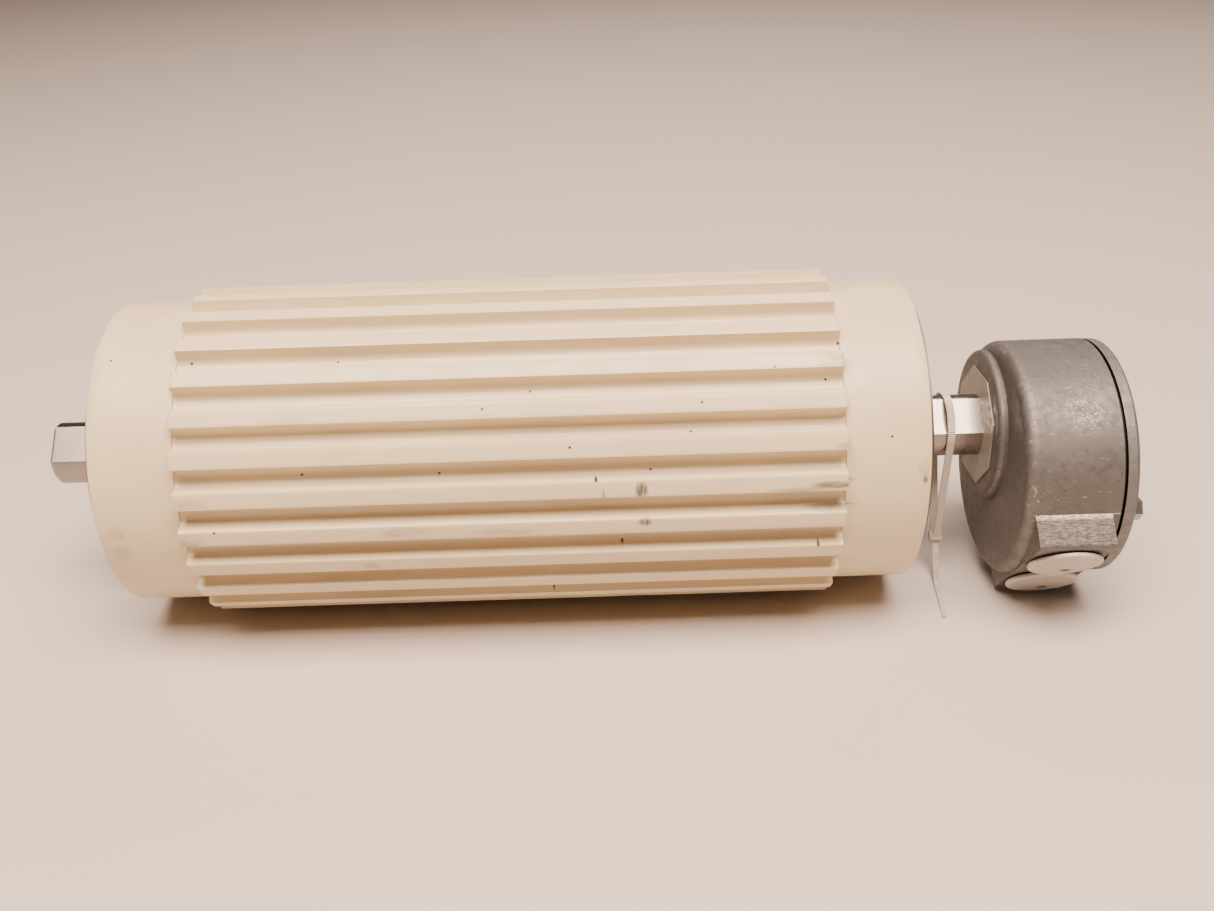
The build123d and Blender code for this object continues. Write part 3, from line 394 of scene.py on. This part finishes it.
def sawn_top(shader, tone):
    """A tone with the rough sawn face of the entry block and bright specks in a strip along its edge."""
    above = shader.vector("DOT_PRODUCT", shader.place, tuple(FLAT_NORMAL))["Value"]
    outward = shader.vector("DOT_PRODUCT", shader.place, tuple(ENTRY_OUT))["Value"]
    beyond = shader.maths("GREATER_THAN", outward, BLOCK_TOP - 0.1 * MM)
    sawn = shader.maths("MULTIPLY", shader.maths("COMPARE", above, SAWN_HEIGHT, 0.0003), beyond)
    rubble = shader.noise(1.0, 4.0, 0.75, shader.stretched((450, 1500, 1500)))
    rough = shader.blend(shader.between(rubble, 0.36, 0.68), (0.10, 0.09, 0.082), (0.27, 0.248, 0.23))
    tone = shader.blend(sawn, tone, rough)
    strip = shader.between(outward, BLOCK_TOP + 2.4 * MM, BLOCK_TOP + 0.8 * MM)
    edge_specks = shader.maths("MULTIPLY", strip, shader.between(rubble, 0.38, 0.52))
    shader.bump(shader.maths("MULTIPLY", sawn, rubble), 0.8, 0.0004)
    return shader.stain(tone, sawn, edge_specks, (0.60, 0.56, 0.52))


def box_material():
    """The terminal box: cast all over, with a machined octagon and a rough sawn top to its entry block."""
    shader, tone = cast_material("raw_casting", (0.172, 0.159, 0.154), 0.9)
    along = shader.parts()[0]
    tone = wear_and_glints(shader, tone, along)
    rings = shader.noise(1.0, 2.0, 0.5, shader.stretched((10, 300, 300)))
    machined = shader.blend(rings, (0.36, 0.325, 0.295), (0.42, 0.38, 0.345))
    tone = shader.blend(shader.maths("LESS_THAN", along, OCTAGON_X), tone, machined)
    shader.colour(shaded_joint(shader, sawn_top(shader, tone)))
    return shader.material


def plastic_material(name, colour, roughness):
    """Plain moulded plastic or rubber, slightly uneven."""
    shader = Shader(name, colour, roughness)
    shader.colour(shader.blend(shader.noise(90.0, 4.0), scaled(colour, 0.94), colour))
    shader.bump(shader.noise(1400.0, 2.0), 0.15, 0.00005)
    return shader.material


def nylon_material():
    """Natural nylon of the cable tie, slightly clear."""
    shader = Shader("natural_nylon", (0.60, 0.54, 0.46), 0.35)
    shader.colour(shader.blend(shader.noise(150.0, 3.0), (0.54, 0.48, 0.40), (0.64, 0.58, 0.50)))
    shader.surface.inputs["Transmission Weight"].default_value = 0.12
    shader.surface.inputs["IOR"].default_value = 1.53
    shader.bump(shader.noise(800.0, 2.0), 0.2, 0.00004)
    return shader.material


# Meshes --------------------------------------------------------------------------------------------


SHARP_ANGLE = radians(40)


def make_piece(name, points, faces, material, body, stands_for):
    """A finished mesh that rides on a body and stands for CAD nodes."""
    mesh = bpy.data.meshes.new(name)
    mesh.from_pydata([tuple(point) for point in points], [], faces)
    mesh.validate()
    mesh.materials.append(material)
    builder = bmesh.new()
    builder.from_mesh(mesh)
    bmesh.ops.recalc_face_normals(builder, faces=builder.faces)
    builder.to_mesh(mesh)
    builder.free()
    mesh.shade_smooth()
    mesh.set_sharp_from_angle(angle=SHARP_ANGLE)
    piece = bpy.data.objects.new(name, mesh)
    bpy.context.scene.collection.objects.link(piece)
    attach(piece, body)
    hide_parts(*stands_for)
    return piece


def tube_faces(rows, count, closed=True):
    """Faces between rings of points; the last ring joins the first where the tube is closed."""
    faces = []
    for row in range(rows if closed else rows - 1):
        after = (row + 1) % rows
        for index in range(count):
            step = (index + 1) % count
            here, there = row * count, after * count
            faces.append((here + index, here + step, there + step, there + index))
    return faces


def groove_section():
    """Radius and angle of points round the ribbed drum, from the middle of its lowest groove."""
    pitch = 2 * pi / RIB_COUNT
    mouth = pitch / 2 - radians(LAND_DEG) / 2
    mouth_x, mouth_r = RIB_R * sin(mouth), RIB_R * cos(mouth)
    floor_x = mouth_x - (mouth_r - FLOOR_R) * tan(FLANK)
    arc_x = floor_x - ROOT_R * (1 - sin(FLANK)) / cos(FLANK)
    half = [(0.0, FLOOR_R), (arc_x * 0.6, FLOOR_R)]
    for step in range(7):
        angle = -pi / 2 + (pi / 2 - FLANK) * step / 6
        half.append((arc_x + ROOT_R * cos(angle), FLOOR_R + ROOT_R + ROOT_R * sin(angle)))
    half.append((mouth_x - EDGE * sin(FLANK), mouth_r - EDGE * cos(FLANK)))
    half.append((mouth_x + 0.3 * EDGE * sin(FLANK), mouth_r - 0.25 * EDGE))
    rising = [(hypot(x, r), atan2(x, r)) for x, r in half]
    for share in (0.06, 0.2, 0.5, 0.8, 0.94):
        rising.append((RIB_R, mouth + share * (pitch - 2 * mouth)))
    falling = [(radius, pitch - angle) for radius, angle in reversed(rising[1:-5])]
    section = rising + falling
    return [(radius, -pi / 2 + angle + pitch * rib) for rib in range(RIB_COUNT) for radius, angle in section]


def lagging_stations():
    """Stations along the drum with the largest radius and the least radius of the rubber there."""
    rim = ((0.0, 0.9), (0.25, 0.3), (0.9, 0.0))
    side = [(LAGGING_HALF - step, COLLAR_R - drop, COLLAR_R - drop) for step, drop in rim]
    side += [(LAGGING_HALF - step, COLLAR_R, COLLAR_R) for step in (4.0, 11.0, 18.0, 25.0, 30.0)]
    side.append((RIB_HALF + 0.15, COLLAR_R, COLLAR_R))
    side.append((RIB_HALF, RIB_R - 0.3, FLOOR_R + 0.3))
    side += [(RIB_HALF - step, RIB_R, FLOOR_R) for step in (0.4, 1.2, 2.5)]
    side += [(RIB_HALF - 2.5 - 5.0 * step, RIB_R, FLOOR_R) for step in range(1, 24)]
    other = [(-station, crown, floor) for station, crown, floor in side]
    return other + side[::-1]


def uneven(radius, angle, station):
    """Radius with the slight waves of cut rubber, and a few nicks in the upper edges of the lands."""
    place = Vector((station * 0.05, cos(angle) * 9, sin(angle) * 9))
    wave = 0.05 * noise.noise(place) + 0.03 * noise.noise(place * 6)
    on_land = max(0.0, min(1.0, (radius - HIGH_EDGE) / 1.2))
    edge_specks = noise.noise(Vector((station * 0.35, cos(angle) * 60, sin(angle) * 60)))
    wave -= on_land * 0.22 * max(0.0, edge_specks - 0.42)
    return radius + wave


def make_lagging(material):
    """The ribbed sleeve with a plain collar at each end, open for the tube."""
    section = groove_section()
    stations = lagging_stations()
    points = []
    for station, crown, floor in stations:
        for radius, angle in section:
            flat = crown == floor
            held = crown if flat else uneven(max(floor, min(crown, radius)), angle, station)
            points.append(AXIS + Vector((station, held * cos(angle), held * sin(angle))) * MM)
    for station in (LAGGING_HALF, -LAGGING_HALF):
        for _, angle in section:
            points.append(AXIS + Vector((station, BORE_R * cos(angle), BORE_R * sin(angle))) * MM)
    faces = tube_faces(len(stations) + 2, len(section))
    make_piece("rubber_lagging", points, faces, material, "drum", ["drum_lagging"])


PLUGS = {"upper_entry_plug": 15.4, "lower_entry_plug": -12.8}
ENTRY_STATION, PLUG_SIDES = 209.5, 96
GATE_STATION, GATE_DOWN, GATE_HEIGHT = 212.5, 9.0, 64.2
GATE_REACH = (3.2 * MM, 2.4 * MM, 2.4 * MM)


def make_plug(node, place, material):
    """A blind plug with a raised rim, turned about the line of its entry, with its hollow stem behind."""
    outline = [(0, 64.15), (10.6, 64.15), (11.4, 64.3), (12.2, 64.62), (13.0, 64.7), (13.6, 64.5)]
    outline += [(13.95, 64.1), (14.0, 63.5), (13.8, 63.0), (10.0, 63.0), (10.0, 54.0)]
    outline += [(8.4, 54.0), (8.4, 62.0), (0, 62.0)]
    middle = AXIS + Vector((ENTRY_STATION, 0, 0)) * MM + FLAT_NORMAL * place * MM
    points = []
    for radius, height in outline[1:-1]:
        for side in range(PLUG_SIDES):
            angle = 2 * pi * side / PLUG_SIDES
            out = Vector((cos(angle), 0, 0)) + FLAT_NORMAL * sin(angle)
            points.append(middle + (ENTRY_OUT * height + out * radius) * MM)
    rows = len(outline) - 2
    faces = tube_faces(rows, PLUG_SIDES, closed=False)
    for height, first in ((outline[0][1], 0), (outline[-1][1], (rows - 1) * PLUG_SIDES)):
        points.append(middle + ENTRY_OUT * height * MM)
        hub = len(points) - 1
        faces += [(hub, first + side, first + (side + 1) % PLUG_SIDES) for side in range(PLUG_SIDES)]
    make_piece(node + "_moulding", points, faces, material, "stator", [node])


def plug_material():
    """White plastic with the dark stub of the gate near the rim of each plug."""
    shader = Shader("white_plastic", (0.52, 0.475, 0.44), 0.38)
    tone = shader.blend(shader.noise(90.0, 4.0), (0.48, 0.435, 0.40), (0.54, 0.495, 0.455))
    scuffs = shader.between(shader.noise(1.0, 5.0, 0.7, shader.stretched((120, 500, 500))), 0.60, 0.70)
    tone = shader.stain(tone, scuffs, 0.35, (0.40, 0.34, 0.30))
    for place in PLUGS.values():
        across = FLAT_NORMAL * (place - GATE_DOWN) + ENTRY_OUT * GATE_HEIGHT
        stub = AXIS + Vector((GATE_STATION, 0, 0)) * MM + across * MM
        tone = shader.blend(shader.near(tuple(stub), GATE_REACH), tone, (0.01, 0.008, 0.006))
    shader.colour(tone)
    shader.bump(shader.noise(1400.0, 2.0), 0.15, 0.00004)
    return shader.material


TIE_STATION, TIE_WIDTH, TIE_THICKNESS = 174.0, 3.0, 1.1
TIE_BEVEL, TIE_NOTCH = 0.18, 0.22
TIE_HEAD = Vector((-7.0, -49.0))
TIE_LOOP_R, TIE_TURN_R = 13.3, 1.9
LOCK_SIZE, LOCK_BEVEL, LOCK_TURN = (4.9, 4.6, 4.2), 0.6, radians(60)
TAIL_GAP, TAIL_STEPS = 0.1, 12
TAIL_NARROWING, TAIL_SWING = 1.3, 4.0


def tie_loop():
    """Closed line round the shaft and through the tie's head, as places across the axis."""
    towards = atan2(TIE_HEAD.y, TIE_HEAD.x)
    meet = acos((TIE_LOOP_R - TIE_TURN_R) / TIE_HEAD.length)
    line = []
    for step in range(121):
        angle = towards + meet + (2 * pi - 2 * meet) * step / 120
        line.append(Vector((TIE_LOOP_R * cos(angle), TIE_LOOP_R * sin(angle))))
    start = line[-1]
    end = TIE_HEAD + TIE_TURN_R * Vector((cos(towards - meet), sin(towards - meet)))
    line += [start.lerp(end, step / 60) for step in range(1, 60)]
    for step in range(13):
        angle = towards - meet + 2 * meet * step / 12
        line.append(TIE_HEAD + TIE_TURN_R * Vector((cos(angle), sin(angle))))
    line += [line[-1].lerp(line[0], step / 60) for step in range(1, 60)]
    return line


def curve(before, here, after, beyond, t):
    """Place at t, from 0 here to 1 at the one after, on a smooth curve through four places."""
    place = 2 * here + (after - before) * t
    place += (2 * before - 5 * here + 4 * after - beyond) * t * t
    place += (3 * here - before - 3 * after + beyond) * t ** 3
    return 0.5 * place


def tie_tail():
    """Line from the head down to the table and along it, as places across the axis."""
    rest = TIE_THICKNESS / 2 + TAIL_GAP - AXIS_Z / MM
    corners = [TIE_HEAD, Vector((-10.5, -55.0)), Vector((-14.5, -61.0)), Vector((-19.0, rest + 0.6))]
    corners += [Vector((x, rest)) for x in (-25.0, -34.0, -44.0)]
    last = len(corners) - 1
    line = []
    for index in range(last):
        around = [corners[min(last, max(0, index + step))] for step in (-1, 0, 1, 2)]
        line += [curve(*around, step / TAIL_STEPS) for step in range(TAIL_STEPS)]
    return line + [corners[-1]]


def band(line, closed, width_at, shift_at):
    """Points and faces of a flat band that follows a line across the axis, with notches on one side."""
    count = len(line)
    points = []
    for index, place in enumerate(line):
        before = line[index - 1] if closed or index else place
        after = line[(index + 1) % count] if closed or index < count - 1 else place
        along = (after - before).normalized()
        out = Vector((along.y, -along.x))
        width = width_at(index / count) / 2
        low = -TIE_THICKNESS / 2
        top = TIE_THICKNESS / 2 - (TIE_NOTCH if index % 2 else 0)
        inner = width - TIE_BEVEL
        section = [(-width, low + TIE_BEVEL), (-inner, low), (inner, low), (width, low + TIE_BEVEL)]
        section += [(width, top - TIE_BEVEL), (inner, top), (-inner, top), (-width, top - TIE_BEVEL)]
        for x, lift in section:
            across = place + out * lift
            station = TIE_STATION + shift_at(index / count) + x
            points.append(AXIS + Vector((station, across.x, across.y)) * MM)
    faces = tube_faces(count, 8, closed)
    if not closed:
        faces += [tuple(range(8)), tuple(range((count - 1) * 8, count * 8))]
    return points, faces


def tie_lock():
    """The tie's locking head: a block with bevelled edges round the crossing of the band and the tail."""
    builder = bmesh.new()
    bmesh.ops.create_cube(builder, size=1.0)
    bmesh.ops.scale(builder, vec=LOCK_SIZE, verts=builder.verts)
    bmesh.ops.bevel(builder, geom=builder.edges[:], offset=LOCK_BEVEL, segments=3, affect="EDGES")
    turned = Matrix.Rotation(LOCK_TURN, 4, "X")
    builder.verts.index_update()
    middle = Vector((TIE_STATION, TIE_HEAD.x, TIE_HEAD.y))
    points = [AXIS + (middle + turned @ vert.co) * MM for vert in builder.verts]
    faces = [tuple(vert.index for vert in face.verts) for face in builder.faces]
    builder.free()
    return points, faces


def make_tie(material):
    """The loop round the shaft, the free tail, which narrows to its tip, and the lock, as one mesh."""
    shells = [
        band(tie_loop(), True, lambda t: TIE_WIDTH, lambda t: 0.0),
        band(tie_tail(), False, lambda t: TIE_WIDTH - TAIL_NARROWING * t, lambda t: -TAIL_SWING * t * t),
        tie_lock(),
    ]
    points, faces = [], []
    for shell_points, shell_faces in shells:
        faces += [tuple(corner + len(points) for corner in face) for face in shell_faces]
        points += shell_points
    make_piece("tie_band", points, faces, material, "stator", ["cable_tie"])


# Finish of the CAD nodes ---------------------------------------------------------------------------


def finish_nodes(shared):
    """Gives each CAD node the material of its kind; the shared ones are on the finished pieces too."""
    kinds = {
        "shaft_steel": steel_material("ground_steel", (0.33, 0.295, 0.27), 0.28, 0.45),
        "tube_steel": steel_material("tube_steel", (0.16, 0.14, 0.125), 0.5),
        "housing_metal": steel_material("turned_aluminium", (0.62, 0.62, 0.61), 0.34),
        "bearing_steel": steel_material("bearing_steel", (0.70, 0.70, 0.71), 0.16),
        "gear_steel": steel_material("gear_steel", (0.46, 0.46, 0.47), 0.3),
        "bush_bronze": steel_material("turned_bronze", (0.70, 0.48, 0.24), 0.3),
        "screw_steel": steel_material("zinc_plate", (0.38, 0.355, 0.325), 0.36),
        "lamination_steel": steel_material("stacked_sheet", (0.30, 0.30, 0.32), 0.5),
        "rotor_aluminium": cast_material("die_cast", (0.60, 0.60, 0.60), 0.2)[0].material,
        "cast_aluminium": box_material(),
        "cover_aluminium": cover_material(),
        "seal_rubber": plastic_material("black_rubber", (0.010, 0.009, 0.008), 0.6),
        "cable_jacket": plastic_material("cable_jacket", (0.035, 0.035, 0.04), 0.45),
        "winding_copper": steel_material("varnished_copper", (0.72, 0.34, 0.16), 0.35),
        "terminal_plastic": plastic_material("terminal_plastic", (0.62, 0.60, 0.52), 0.45),
        **shared,
    }
    slots = {part["node"]: part["material_slot"] for part in frame["record"]["subparts"]}
    for name, node in frame["nodes"].items():
        node.data.materials.clear()
        node.data.materials.append(kinds[slots[name]])


make_camera()
make_studio()
shared = {"lagging_rubber": rubber_material(), "plug_plastic": plug_material(), "tie_nylon": nylon_material()}
make_lagging(shared["lagging_rubber"])
for node, place in PLUGS.items():
    make_plug(node, place, shared["plug_plastic"])
make_tie(shared["tie_nylon"])
finish_nodes(shared)
